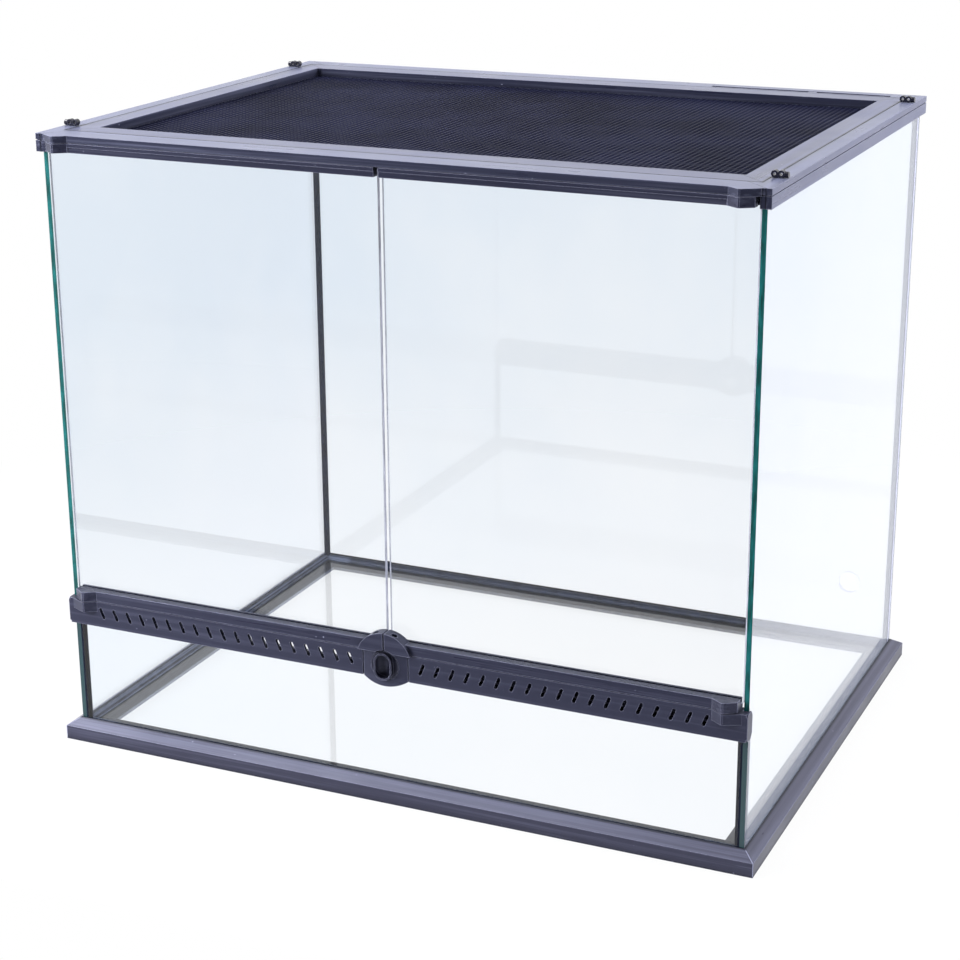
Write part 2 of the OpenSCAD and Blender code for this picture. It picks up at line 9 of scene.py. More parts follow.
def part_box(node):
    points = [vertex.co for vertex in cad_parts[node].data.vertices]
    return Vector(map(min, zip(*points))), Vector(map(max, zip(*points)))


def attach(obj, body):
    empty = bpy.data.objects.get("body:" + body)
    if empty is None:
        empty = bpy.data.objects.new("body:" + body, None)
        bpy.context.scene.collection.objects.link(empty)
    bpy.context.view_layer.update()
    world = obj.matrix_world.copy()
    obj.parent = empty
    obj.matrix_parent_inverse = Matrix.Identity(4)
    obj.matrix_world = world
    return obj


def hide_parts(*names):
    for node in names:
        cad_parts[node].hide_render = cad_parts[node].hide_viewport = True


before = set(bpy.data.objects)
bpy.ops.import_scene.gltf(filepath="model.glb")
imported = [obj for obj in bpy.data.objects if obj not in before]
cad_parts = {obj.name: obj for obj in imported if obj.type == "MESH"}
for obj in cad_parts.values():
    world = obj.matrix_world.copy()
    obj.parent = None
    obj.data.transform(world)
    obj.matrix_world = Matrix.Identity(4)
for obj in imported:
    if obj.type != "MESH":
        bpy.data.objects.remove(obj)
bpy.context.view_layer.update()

# ---- sizes, in metres ----

BASE_LOW, BASE_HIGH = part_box("base_frame")
TOP_LOW, TOP_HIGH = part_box("top_frame")
LID_LOW, LID_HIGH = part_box("lid_frame")
SCREEN_LOW, SCREEN_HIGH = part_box("lid_screen")
BEAD_LOW, BEAD_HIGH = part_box("floor_sealant")
STRIP_LOW, STRIP_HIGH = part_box("right_vent_strip")

HOLE_PITCH = 0.00561            # between a column's holes, front to rear
COLUMN_PITCH = 0.00481          # between the columns, left to right
HOLE_SHARE = 0.70               # hole width as a share of its cell
HOLE_COLUMNS = 113
HOLE_ROWS = 33                  # in each half of the screen
WELD = 1e-6                     # points closer than this are one

# a plate behind the right strip's slots, standing in for the shade inside it
SHADE_PLATE_ENDS = (0.004, 0.030)    # clear of the strip's left and right ends
SHADE_PLATE_SKIN = (0.0021, 0.0016)  # its front and rear faces, in from the strip's back
SHADE_PLATE_RIMS = (0.005, 0.003)    # clear of the strip's bottom and top
SHADE_PLATE_EDGE = 0.0002            # its rounded edges

SOFT_EDGE = 0.0006              # radius of moulded edges
CREVICE_REACH = 0.006           # painted shade darkens gaps and slots narrower than this
SEAM_LINE = (0.0002, 0.0006)    # off a mitre: where its line is full, and where it ends
SEAM_DEPTH = 0.0003
GAP_SHADE = 0.0019               # half width of the painted shade line between lid frame and top frame
LEDGE_SHADE = 0.0024             # half width of the painted shade line where panes meet the base frame
LEDGE_WIDTH = 0.024             # of the ledge that shows through the floor pane
SIDE_BEAD = (0.030, 0.026)      # in from the beads' outer edge: side streaks begin, are full
GRAIN_DEPTH = 0.00003
STREAK_DEPTH = 0.00008
NICK_DEPTH = 0.00005
WAVE_DEPTH = 0.0006             # of hand-smoothed silicone
SKIN_DEPTH = 0.00004
COATING_DEPTH = 0.00005
FLOW_DEPTH = 0.00006            # of the clips' moulding marks
SHADE_BLUR = 0.002              # over which a side pane's edge darkens
DUST_STOP = 0.0005              # over which dust and painted sheen on the base frame end at the panes
LID_GAP_MIDDLE = 0.0002         # out from the lid frame's side

FLOOR_REACH = 6.0
FLOOR_FRONT = -0.46
FLOOR_FADE = (0.35, 0.9)        # from the middle: shadow begins to fade, and is gone

CAMERA_PLACE = (0.7189, -1.6379, 0.8045)
CAMERA_YAW, CAMERA_PITCH, CAMERA_ROLL = -0.424, 0.324, -0.006      # in radians
CAMERA_LENS = 81.3              # in millimetres, on a sensor 36 wide

X, Y, Z = 0, 1, 2

CLIPS = [f"{end}_{side}_clip" for end in ("front", "rear") for side in ("left", "right")]

# ---- colours, linear ----

FRAME_BLACK = (0.027, 0.029, 0.054)
BASE_BLACK = (0.030, 0.029, 0.050)
DOOR_BLACK = (0.028, 0.029, 0.052)
CLIP_BLACK = (0.010, 0.010, 0.020)
KNOB_BLACK = (0.011, 0.011, 0.023)
# pale streaks, and rubbed crests that also carry painted highlights
RUBBED_AND_GLINT = (0.26, 0.27, 0.40)
RUBBED_EDGE_AND_GLINT = (0.42, 0.43, 0.60)
# what faces up: pale with dust and painted sheen
FRAME_DUST_AND_SHEEN = (0.095, 0.100, 0.170)
BASE_DUST_AND_SHEEN = (0.098, 0.098, 0.140)
DOOR_DUST_AND_SHEEN = (0.030, 0.032, 0.052)
SEALANT_BLACK = (0.004, 0.006, 0.014)
SEALANT_STREAK = (0.11, 0.13, 0.19)
COATED_BLACK = (0.010, 0.011, 0.026)
STEEL_GREY = (0.60, 0.60, 0.62)
SHEEN_TINT = (0.70, 0.75, 1.0)
GLOSS_TINT = (0.70, 0.74, 1.0)

PANE_TINT = (0.972, 0.980, 0.992)
PANE_TINT_DEEP = (0.875, 0.918, 0.965)
LOWER_TINT_DEEP = (0.800, 0.875, 0.940)
DOOR_TINT = (0.986, 0.991, 0.998)
FLOOR_TINT = (0.988, 0.994, 1.0)
FLOOR_TINT_DEEP = (0.966, 0.984, 1.0)
# a pale layer on panes seen at a slant: painted reflection of the bright room
PANE_GLARE = (0.70, 0.74, 0.86)
EDGE_GREEN = (0.008, 0.155, 0.155)
EDGE_GREEN_DARK = (0.004, 0.060, 0.056)
EDGE_PALE = (0.46, 0.47, 0.56)
# pale cut edges: painted reflection of the bright room
EDGE_LILAC_REFLECTION = (0.62, 0.60, 0.80)
EDGE_REAR_REFLECTION = (0.60, 0.57, 0.84)
EDGE_SHADED = (0.016, 0.050, 0.058)

WHITE = (1.0, 1.0, 1.0)
FLOOR_PALE = (0.90, 0.905, 0.92)
ROOM_LIGHT = (0.93, 0.95, 1.0)
LEFT_LIGHT = (0.95, 0.97, 1.0)

DARK_SIDE = (0.60, -0.80, 0.0)          # the way to the studio's darker side
ROOM_AS_LIGHT = (0.0, 0.7, 0.85, 0.44)  # that way: dimming begins, ends; strengths there
ROOM_IN_GLOSS = (0.10, 0.50, 1.0, 0.14)


# ---- wiring of node trees ----

class Wiring:
    """Adds and links the nodes of one tree, a step at a time."""

    def __init__(self, tree):
        self.tree = tree
        tree.nodes.clear()

    def node(self, kind, settings=None, **inputs):
        """A new node with its settings, and its inputs set or linked by name. A shader
        node's kind leaves out the word ShaderNode."""
        shader = not kind.startswith("GeometryNode")
        made = self.tree.nodes.new("ShaderNode" + kind if shader else kind)
        for name, value in (settings or {}).items():
            setattr(made, name, value)
        for name, value in inputs.items():
            self.feed(made.inputs[name.replace("_", " ")], value)
        return made

    def feed(self, socket, value):
        """Links another node's output to a socket, or sets the socket to a plain value."""
        if isinstance(value, bpy.types.NodeSocket):
            self.tree.links.new(value, socket)
        elif socket.type == "RGBA" and len(value) == 3:
            socket.default_value = (*value, 1.0)
        else:
            socket.default_value = value

    def maths(self, what, a, b=0.0):
        made = self.node("Math", {"operation": what})
        self.feed(made.inputs[0], a)
        self.feed(made.inputs[1], b)
        return made.outputs[0]

    def dot(self, a, b):
        made = self.node("VectorMath", {"operation": "DOT_PRODUCT"})
        self.feed(made.inputs[0], a)
        self.feed(made.inputs[1], b)
        return made.outputs["Value"]

    def ranged(self, value, low, high, to_low=0.0, to_high=1.0):
        """value from low..high moved to to_low..to_high, and held there."""
        return self.node("MapRange", {"clamp": True}, Value=value, From_Min=low, From_Max=high,
                         To_Min=to_low, To_Max=to_high).outputs[0]

    def blended(self, share, under, over):
        """Shader under with a share of shader over."""
        made = self.node("MixShader")
        for socket, value in zip(made.inputs, (share, under, over)):
            self.feed(socket, value)
        return made.outputs[0]


class Finish(Wiring):
    """One material. Patterns lie on the object's own coordinates, in metres."""

    def __init__(self, name):
        self.material = bpy.data.materials.new(name)
        self.material.use_nodes = True
        super().__init__(self.material.node_tree)
        self.coordinates = self.node("TexCoord").outputs

    def place(self):
        """Where the point is on the object."""
        return self.coordinates["Object"]

    def facing(self, axis):
        """How far the surface faces up an axis, from -1 to 1."""
        return self.axes(self.coordinates["Normal"])[axis]

    def axes(self, vector):
        return self.node("SeparateXYZ", Vector=vector).outputs

    def together(self, x, y, z):
        return self.node("CombineXYZ", X=x, Y=y, Z=z).outputs[0]

    def stretched(self, vector, scale):
        return self.node("Mapping", Vector=vector, Scale=scale).outputs[0]

    def noise(self, vector, scale, detail=3.0, roughness=0.5):
        return self.node("TexNoise", Vector=vector, Scale=scale, Detail=detail,
                         Roughness=roughness).outputs["Fac"]

    def mixed(self, share, a, b):
        """Colour a with a share of colour b."""
        made = self.node("Mix", {"data_type": "RGBA"})
        self.feed(made.inputs[0], share)
        self.feed(made.inputs[6], a)
        self.feed(made.inputs[7], b)
        return made.outputs[2]

    def chosen(self, share, a, b):
        """Vector a where share is 0, vector b where it is 1."""
        made = self.node("Mix", {"data_type": "VECTOR"})
        self.feed(made.inputs[0], share)
        self.feed(made.inputs[4], a)
        self.feed(made.inputs[5], b)
        return made.outputs[1]

    def bumped(self, height, distance, normal=None):
        made = self.node("Bump", Height=height, Distance=distance, Strength=1.0)
        if normal is not None:
            self.feed(made.inputs["Normal"], normal)
        return made.outputs[0]

    def openness(self, reach, darkest):
        """1 on open surface, falling to darkest in gaps and slots about this wide: painted shade.
        """
        share = self.node("AmbientOcclusion", {"samples": 4}, Distance=reach).outputs["AO"]
        return self.ranged(share, 0.30, 0.85, darkest, 1.0)

    def rounded(self, radius):
        """The normal of edges softened to this radius."""
        return self.node("Bevel", {"samples": 4}, Radius=radius).outputs[0]

    def crest_wear_and_glint(self, soft_normal):
        """1 on the crests, where rubbed wear and painted highlights go, 0 elsewhere."""
        flat_normal = self.node("NewGeometry").outputs["Normal"]
        return self.ranged(self.dot(soft_normal, flat_normal), 0.995, 0.90)

    def shader(self, **inputs):
        return self.node("BsdfPrincipled", **inputs).outputs[0]

    def end(self, surface):
        self.node("OutputMaterial", Surface=surface)
        return self.material


def scaled(colour, share):
    return tuple(share * c for c in colour)


# ---- finishes ----

def bar_frame(f, width, depth):
    """For a frame of four mitred bars: coordinates along and across the bar, and the
    distance from the nearest mitre."""
    x, y, z = f.axes(f.place())
    from_x = f.maths("SUBTRACT", f.maths("ABSOLUTE", x), (width - depth) / 2)
    from_y = f.maths("ABSOLUTE", y)
    on_side = f.maths("GREATER_THAN", from_x, from_y)
    along = f.chosen(on_side, f.together(x, y, z), f.together(y, x, z))
    return along, f.maths("ABSOLUTE", f.maths("SUBTRACT", from_x, from_y))


def outside_of(f, half_width, half_depth):
    """How far the point lies outside a rectangle about the middle, below 0 inside it."""
    x, y, _ = f.axes(f.place())
    return f.maths("MAXIMUM", f.maths("SUBTRACT", f.maths("ABSOLUTE", x), half_width),
                   f.maths("SUBTRACT", f.maths("ABSOLUTE", y), half_depth))


def smeared_ledge(f, along, half_width):
    """Black, with smears of sealant along the side bars of the ledge."""
    smear = f.noise(f.stretched(along, (2.0, 430.0, 1.0)), 1.0, 3.0, 0.6)
    off_middle = f.maths("ABSOLUTE", f.axes(f.place())[X])
    on_side = f.maths("GREATER_THAN", off_middle, half_width - LEDGE_WIDTH)
    smeared = f.maths("MULTIPLY", f.ranged(smear, 0.44, 0.60), on_side)
    return f.mixed(smeared, SEALANT_BLACK, SEALANT_STREAK)


def moulded_plastic(name, black, dust_and_sheen, roughness, bars=None, seam=None, gap=None,
                    gap_shade=GAP_SHADE, under_glass=False, painted_sides=0.0, streaks=0.5, wear_and_glint=0.7,
                    sheen=0.14, ior=1.5):
    """Black moulded plastic: a fine grain, flow streaks, cloudy sheen, rubbed edges with painted
    highlights, painted shade in crevices, and a pale film of dust and painted sheen, with dust
    specks, on what faces up.

    bars: width and depth of a frame of four bars, with the streaks along each of them.
    seam: colour of the line at each mitre of the bars.
    gap: half width and half depth of a rectangle along which painted shade lies, gap_shade either
    side.
    under_glass: inside the gap no dust or painted sheen lies, and sealant is smeared on the side
    bars.
    painted_sides: how far painted sheen pales the left and right walls.
    """
    f = Finish(name)
    along, off_mitre = bar_frame(f, *bars) if bars else (f.place(), None)
    grain = f.noise(f.place(), 1400.0, 2.0)
    cloud = f.noise(f.place(), 14.0, 3.0)
    speck = f.noise(f.place(), 330.0, 1.0)
    streak = f.noise(f.stretched(along, (3.0, 210.0, 260.0)), 1.0, 4.0, 0.65)
    scuff = f.noise(f.stretched(along, (18.0, 420.0, 520.0)), 1.0, 2.0, 0.5)
    normal = f.rounded(SOFT_EDGE)
    worn_and_glinting = f.crest_wear_and_glint(normal)

    # the plastic under its pale film: dust with painted sheen on what faces up, and painted sheen
    # on the side walls
    film = f.maths("MULTIPLY", f.ranged(f.facing(Z), 0.45, 0.92),
                   f.ranged(cloud, 0.2, 0.7, 0.8, 1.0))
    film = f.maths("MULTIPLY", film, f.ranged(streak, 0.34, 0.56, 0.45, 1.0))
    if painted_sides:
        # painted sheen on the left and right walls
        sideways = f.maths("ABSOLUTE", f.facing(X))
        film = f.maths("MAXIMUM", film, f.ranged(sideways, 0.6, 0.95, 0.0, painted_sides))
    bare = black
    if gap:
        off_gap = outside_of(f, *gap)
    if under_glass:
        in_air = f.ranged(off_gap, -DUST_STOP, 0.0)
        film = f.maths("MULTIPLY", film, in_air)
        bare = f.mixed(in_air, smeared_ledge(f, along, gap[0]), black)
    shown = f.mixed(film, bare, dust_and_sheen)

    # streaks, scuffs, rubbed edges with painted highlights, and dust specks
    paler = f.maths("MULTIPLY", f.ranged(streak, 0.50, 0.72), 0.6 * streaks)
    scuffed = f.maths("MULTIPLY", f.ranged(scuff, 0.66, 0.74), 0.4 * streaks)
    shown = f.mixed(f.maths("MAXIMUM", paler, scuffed), shown, RUBBED_AND_GLINT)
    rubbed_and_glinting = f.maths("MAXIMUM", f.maths("MULTIPLY", worn_and_glinting, wear_and_glint),
                     f.ranged(speck, 0.80, 0.83, 0.0, 0.8))
    shown = f.mixed(rubbed_and_glinting, shown, RUBBED_EDGE_AND_GLINT)

    # seams, and painted shade in gap lines and crevices
    if seam:
        line = f.ranged(off_mitre, *SEAM_LINE, 1.0, 0.0)
        shown = f.mixed(line, shown, seam)
        normal = f.bumped(f.maths("SUBTRACT", 1.0, line), SEAM_DEPTH, normal)
    if gap:
        # painted shade along the gap
        shade_line = f.ranged(f.maths("ABSOLUTE", off_gap), 0.5 * gap_shade, gap_shade, 0.95, 0.0)
        shown = f.mixed(shade_line, shown, scaled(black, 0.15))
    # painted shade in gaps and slots
    in_open = f.openness(CREVICE_REACH, 0.10)
    shown = f.mixed(in_open, scaled(black, 0.1), shown)

    rough = f.maths("ADD", f.ranged(cloud, 0.3, 0.7, roughness - 0.05, roughness + 0.06),
                    f.ranged(streak, 0.4, 0.7, -0.04, 0.05))
    rough = f.maths("ADD", rough, f.ranged(in_open, 0.1, 0.9, 0.35, 0.0))
    normal = f.bumped(streak, STREAK_DEPTH, f.bumped(grain, GRAIN_DEPTH, normal))
    return f.end(f.shader(Base_Color=shown, Roughness=rough, Normal=normal, IOR=ior,
                          Specular_Tint=GLOSS_TINT, Sheen_Weight=sheen, Sheen_Roughness=0.3,
                          Sheen_Tint=SHEEN_TINT))


def clear_pane(name, thin_axis, edge=EDGE_GREEN, edge_dark=EDGE_GREEN_DARK, tint=PANE_TINT,
               deep=PANE_TINT_DEEP, shaded_below=None, slant_glare=0.0):
    """Float glass whose faces are clear and whose cut edges have their own colour.

    tint, deep: the faces' colour, and its colour where the film on them is thick.
    shaded_below: on a side pane, the height below which sealant darkens the front edge. Such a
    pane's rear edge is painted pale, as a reflection.
    slant_glare: how much a pale painted reflection of the bright room shows on a face seen at a
    slant.
    """
    f = Finish(name)
    x, _, height = f.axes(f.place())

    # the film: an even part, thicker to the top and the left, and clouds
    cloud = f.noise(f.stretched(f.place(), (5.0, 5.0, 4.0)), 1.0, 4.0, 0.55)
    even = f.maths("ADD", f.ranged(height, 0.16, 0.42, 0.0, 0.50),
                   f.ranged(x, -0.28, 0.10, 0.35, 0.0))
    cloudy = f.maths("MULTIPLY", f.ranged(cloud, 0.38, 0.66, 0.0, 0.55),
                     f.ranged(height, 0.15, 0.35, 0.25, 1.0))
    film = f.maths("MINIMUM", f.maths("ADD", even, cloudy), 1.0)
    face = f.shader(Base_Color=f.mixed(film, tint, deep), Roughness=0.0, IOR=1.5,
                    Transmission_Weight=1.0)
    if slant_glare:
        # painted reflection of the bright room on faces seen at a slant
        slant = f.node("LayerWeight", Blend=0.5).outputs["Facing"]
        dust_and_sheen = f.node("BsdfDiffuse", Color=PANE_GLARE).outputs[0]
        face = f.blended(f.ranged(slant, 0.45, 0.80, 0.0, slant_glare), face, dust_and_sheen)

    # the cut edges
    nick = f.noise(f.stretched(f.place(), (400.0, 400.0, 60.0)), 1.0, 3.0)
    edge_colour = f.mixed(f.ranged(nick, 0.35, 0.65), edge_dark, edge)
    if shaded_below:
        low = f.ranged(height, shaded_below - SHADE_BLUR, shaded_below + SHADE_BLUR, 1.0, 0.0)
        edge_colour = f.mixed(low, edge_colour, EDGE_SHADED)
        # the rear edge is painted pale, as a reflection
        rear = f.maths("GREATER_THAN", f.facing(Y), 0.5)
        edge_colour = f.mixed(rear, edge_colour, EDGE_REAR_REFLECTION)
    cut_edge = f.shader(Base_Color=edge_colour, Roughness=0.22, IOR=1.5,
                        Normal=f.bumped(nick, NICK_DEPTH))
    on_edge = f.maths("LESS_THAN", f.maths("ABSOLUTE", f.facing(thin_axis)), 0.5)
    shown = f.blended(on_edge, face, cut_edge)

    # shadows and bounced light pass straight through
    rays = f.node("LightPath").outputs
    for ray in ("Is Shadow Ray", "Is Diffuse Ray"):
        through = f.node("BsdfTransparent", Color=tint).outputs[0]
        shown = f.blended(rays[ray], shown, through)
    return f.end(shown)


def black_sealant(name, roughness, ior, bars=None):
    """Silicone smoothed by hand, with slow waves. Where its beads make a frame of bars, pale
    streaks show how they were wiped, most of all on the side bars."""
    f = Finish(name)
    wave = f.noise(f.place(), 60.0, 2.0)
    skin = f.noise(f.place(), 500.0, 2.0)
    shown = f.mixed(f.ranged(wave, 0.35, 0.7), SEALANT_BLACK, scaled(SEALANT_BLACK, 2.2))
    if bars:
        along, _ = bar_frame(f, *bars)
        streak = f.noise(f.stretched(along, (2.0, 520.0, 520.0)), 1.0, 3.0, 0.6)
        begin, full = (bars[0] / 2 - inwards for inwards in SIDE_BEAD)
        side = f.ranged(f.maths("ABSOLUTE", f.axes(f.place())[X]), begin, full, 0.30, 1.0)
        wiped = f.maths("MULTIPLY", f.ranged(streak, 0.42, 0.60), side)
        shown = f.mixed(wiped, shown, SEALANT_STREAK)
    normal = f.bumped(skin, SKIN_DEPTH, f.bumped(wave, WAVE_DEPTH))
    return f.end(f.shader(Base_Color=shown, Normal=normal, IOR=ior, Specular_Tint=GLOSS_TINT,
                          Roughness=f.ranged(wave, 0.3, 0.7, roughness, roughness + 0.14)))


def coated_metal():
    """The screen's matt black coating."""
    f = Finish("coated_metal")
    speck = f.noise(f.place(), 900.0, 2.0)
    cloud = f.noise(f.place(), 12.0, 3.0)
    shown = f.mixed(f.ranged(cloud, 0.35, 0.65), COATED_BLACK, scaled(COATED_BLACK, 1.7))
    return f.end(f.shader(Base_Color=shown, Roughness=f.ranged(speck, 0.3, 0.7, 0.45, 0.60),
                          Normal=f.bumped(speck, COATING_DEPTH), IOR=1.11,
                          Specular_Tint=GLOSS_TINT))


def bright_steel():
    """Turned and stamped steel, with fine tool marks."""
    f = Finish("bright_steel")
    marks = f.noise(f.stretched(f.place(), (900.0, 900.0, 200.0)), 1.0, 3.0)
    shown = f.mixed(f.ranged(marks, 0.3, 0.7), STEEL_GREY, scaled(STEEL_GREY, 0.7))
    return f.end(f.shader(Base_Color=shown, Metallic=1.0,
                          Roughness=f.ranged(marks, 0.3, 0.7, 0.22, 0.36),
                          Normal=f.bumped(marks, GRAIN_DEPTH)))


def glossy_plastic():
    """The lid clips' shiny black plastic."""
    f = Finish("glossy_plastic")
    flow = f.noise(f.place(), 260.0, 2.0)
    normal = f.rounded(SOFT_EDGE)
    # painted highlights, with rubbed wear, on the clips' crests
    shown = f.mixed(f.maths("MULTIPLY", f.crest_wear_and_glint(normal), 0.4), CLIP_BLACK, RUBBED_AND_GLINT)
    return f.end(f.shader(Base_Color=shown, Roughness=f.ranged(flow, 0.3, 0.7, 0.10, 0.18),
                          Normal=f.bumped(flow, FLOW_DEPTH, normal), IOR=1.6))


# ---- pieces of the scene ----

def added(name, data):
    """A new object that holds data, in the scene."""
    made = bpy.data.objects.new(name, data)
    bpy.context.scene.collection.objects.link(made)
    return made


def staggered_screen():
    """Geometry Nodes: a sheet of staggered six-sided holes, closed all round."""
    tree = bpy.data.node_groups.new("staggered_screen", "GeometryNodeTree")
    g = Wiring(tree)
    sockets = tree.interface
    sockets.new_socket(name="Geometry", in_out="OUTPUT", socket_type="NodeSocketGeometry")
    for name, kind in (("Pitch", "Float"), ("Column Pitch", "Float"), ("Columns", "Int"),
                       ("Rows", "Int"), ("Hole Share", "Float"), ("Thickness", "Float"),
                       ("Middle", "Vector"), ("Finish", "Material")):
        sockets.new_socket(name=name, in_out="INPUT", socket_type="NodeSocket" + kind)
    given = tree.nodes.new("NodeGroupInput").outputs
    pitch, column_pitch = given["Pitch"], given["Column Pitch"]

    # a grid of points, with every other column half a pitch further back
    columns = g.maths("ADD", given["Columns"], 2)
    rows = g.maths("ADD", given["Rows"], 2)
    grid = g.node("GeometryNodeMeshGrid", Vertices_X=columns, Vertices_Y=rows,
                  Size_X=g.maths("MULTIPLY", column_pitch, g.maths("SUBTRACT", columns, 1)),
                  Size_Y=g.maths("MULTIPLY", pitch, g.maths("SUBTRACT", rows, 1)))
    where = g.node("SeparateXYZ", Vector=g.node("GeometryNodeInputPosition").outputs[0])
    column = g.maths("ROUND", g.maths("DIVIDE", where.outputs[X], column_pitch))
    odd = g.maths("MODULO", g.maths("ABSOLUTE", column), 2)
    lift = g.maths("MULTIPLY", g.maths("SUBTRACT", odd, 0.5), g.maths("MULTIPLY", pitch, 0.5))
    stagger = g.node("GeometryNodeSetPosition", Geometry=grid.outputs["Mesh"],
                     Offset=g.node("CombineXYZ", Y=lift).outputs[0])

    # a six-sided cell about each point, and a hole in each cell
    triangles = g.node("GeometryNodeTriangulate", {"quad_method": "SHORTEST_DIAGONAL"},
                       Mesh=stagger.outputs[0])
    cells = g.node("GeometryNodeDualMesh", Mesh=triangles.outputs[0])
    inner = g.node("GeometryNodeExtrudeMesh", {"mode": "FACES"}, Mesh=cells.outputs[0],
                   Offset_Scale=0.0, Individual=True)
    holes = g.node("GeometryNodeScaleElements", Geometry=inner.outputs["Mesh"],
                   Selection=inner.outputs["Top"], Scale=given["Hole Share"])
    net = g.node("GeometryNodeDeleteGeometry", {"domain": "FACE"}, Geometry=holes.outputs[0],
                 Selection=inner.outputs["Top"])

    # its thickness
    down = g.node("CombineXYZ", Z=g.maths("MULTIPLY", given["Thickness"], -1))
    walls = g.node("GeometryNodeExtrudeMesh", {"mode": "FACES"}, Mesh=net.outputs[0],
                   Offset=down.outputs[0], Offset_Scale=1.0, Individual=False)
    both = g.node("GeometryNodeJoinGeometry")
    for part in (walls.outputs["Mesh"], net.outputs[0]):
        tree.links.new(part, both.inputs[0])
    welded = g.node("GeometryNodeMergeByDistance", Geometry=both.outputs[0], Distance=WELD)
    placed = g.node("GeometryNodeSetPosition", Geometry=welded.outputs[0],
                    Offset=given["Middle"])
    real = g.node("GeometryNodeRealizeInstances", Geometry=placed.outputs[0])
    dressed = g.node("GeometryNodeSetMaterial", Geometry=real.outputs[0],
                     Material=given["Finish"])
    tree.links.new(dressed.outputs[0], tree.nodes.new("NodeGroupOutput").inputs[0])
    return tree


def grown(name, tree, values):
    """A plain mesh object made by a Geometry Nodes tree with these input values."""
    seed = added(name + "_seed", bpy.data.meshes.new(name + "_seed"))
    modifier = seed.modifiers.new("grow", "NODES")
    modifier.node_group = tree
    for socket in tree.interface.items_tree:
        if socket.in_out == "INPUT":
            modifier[socket.identifier] = values[socket.name]
    bpy.context.view_layer.update()
    ready = seed.evaluated_get(bpy.context.evaluated_depsgraph_get())
    mesh = bpy.data.meshes.new_from_object(ready)
    seed.modifiers.remove(modifier)
    bpy.data.objects.remove(seed)
    solid = bmesh.new()
    solid.from_mesh(mesh)
    bmesh.ops.recalc_face_normals(solid, faces=solid.faces)
    solid.to_mesh(mesh)
    solid.free()
    mesh.name = name
    return added(name, mesh)


def lid_screens(finish):
    """The screen in two halves, clamped in the lid frame."""
    tree = staggered_screen()
    for name, side in (("lid_screen_front", -1), ("lid_screen_rear", 1)):
        half = grown(name, tree, {
            "Pitch": HOLE_PITCH, "Column Pitch": COLUMN_PITCH, "Columns": HOLE_COLUMNS,
            "Rows": HOLE_ROWS, "Hole Share": HOLE_SHARE,
            "Thickness": SCREEN_HIGH.z - SCREEN_LOW.z,
            "Middle": (0.0, side * HOLE_ROWS * HOLE_PITCH / 2, SCREEN_HIGH.z),
            "Finish": finish})
        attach(half, "lid")
        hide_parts("lid_screen")


def strip_shade_plate(finish):
    """A thin plate that closes the right strip from behind, over its rear wall, so that its slots
    show dark: a sheet standing in for the shade inside the strip.
    """
    near = (STRIP_LOW.x + SHADE_PLATE_ENDS[0], STRIP_HIGH.y - SHADE_PLATE_SKIN[0],
            STRIP_LOW.z + SHADE_PLATE_RIMS[0])
    far = (STRIP_HIGH.x - SHADE_PLATE_ENDS[1], STRIP_HIGH.y - SHADE_PLATE_SKIN[1],
           STRIP_HIGH.z - SHADE_PLATE_RIMS[1])
    plate = bmesh.new()
    bmesh.ops.create_cube(plate, size=1.0)
    for corner in plate.verts:
        corner.co = Vector(near[i] if corner.co[i] < 0 else far[i] for i in (X, Y, Z))
    bmesh.ops.bevel(plate, geom=plate.edges[:], offset=SHADE_PLATE_EDGE, segments=2, affect="EDGES")
    mesh = bpy.data.meshes.new("right_vent_shade_plate")
    plate.to_mesh(mesh)
    plate.free()
    mesh.materials.append(finish)
    piece = added("right_vent_shade_plate", mesh)
    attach(piece, "tank")


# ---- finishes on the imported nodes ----

def dress(finish, *names):
    for name in names:
        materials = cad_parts[name].data.materials
        materials.clear()
        materials.append(finish)


def span(low, high):
    return high.x - low.x, high.y - low.y


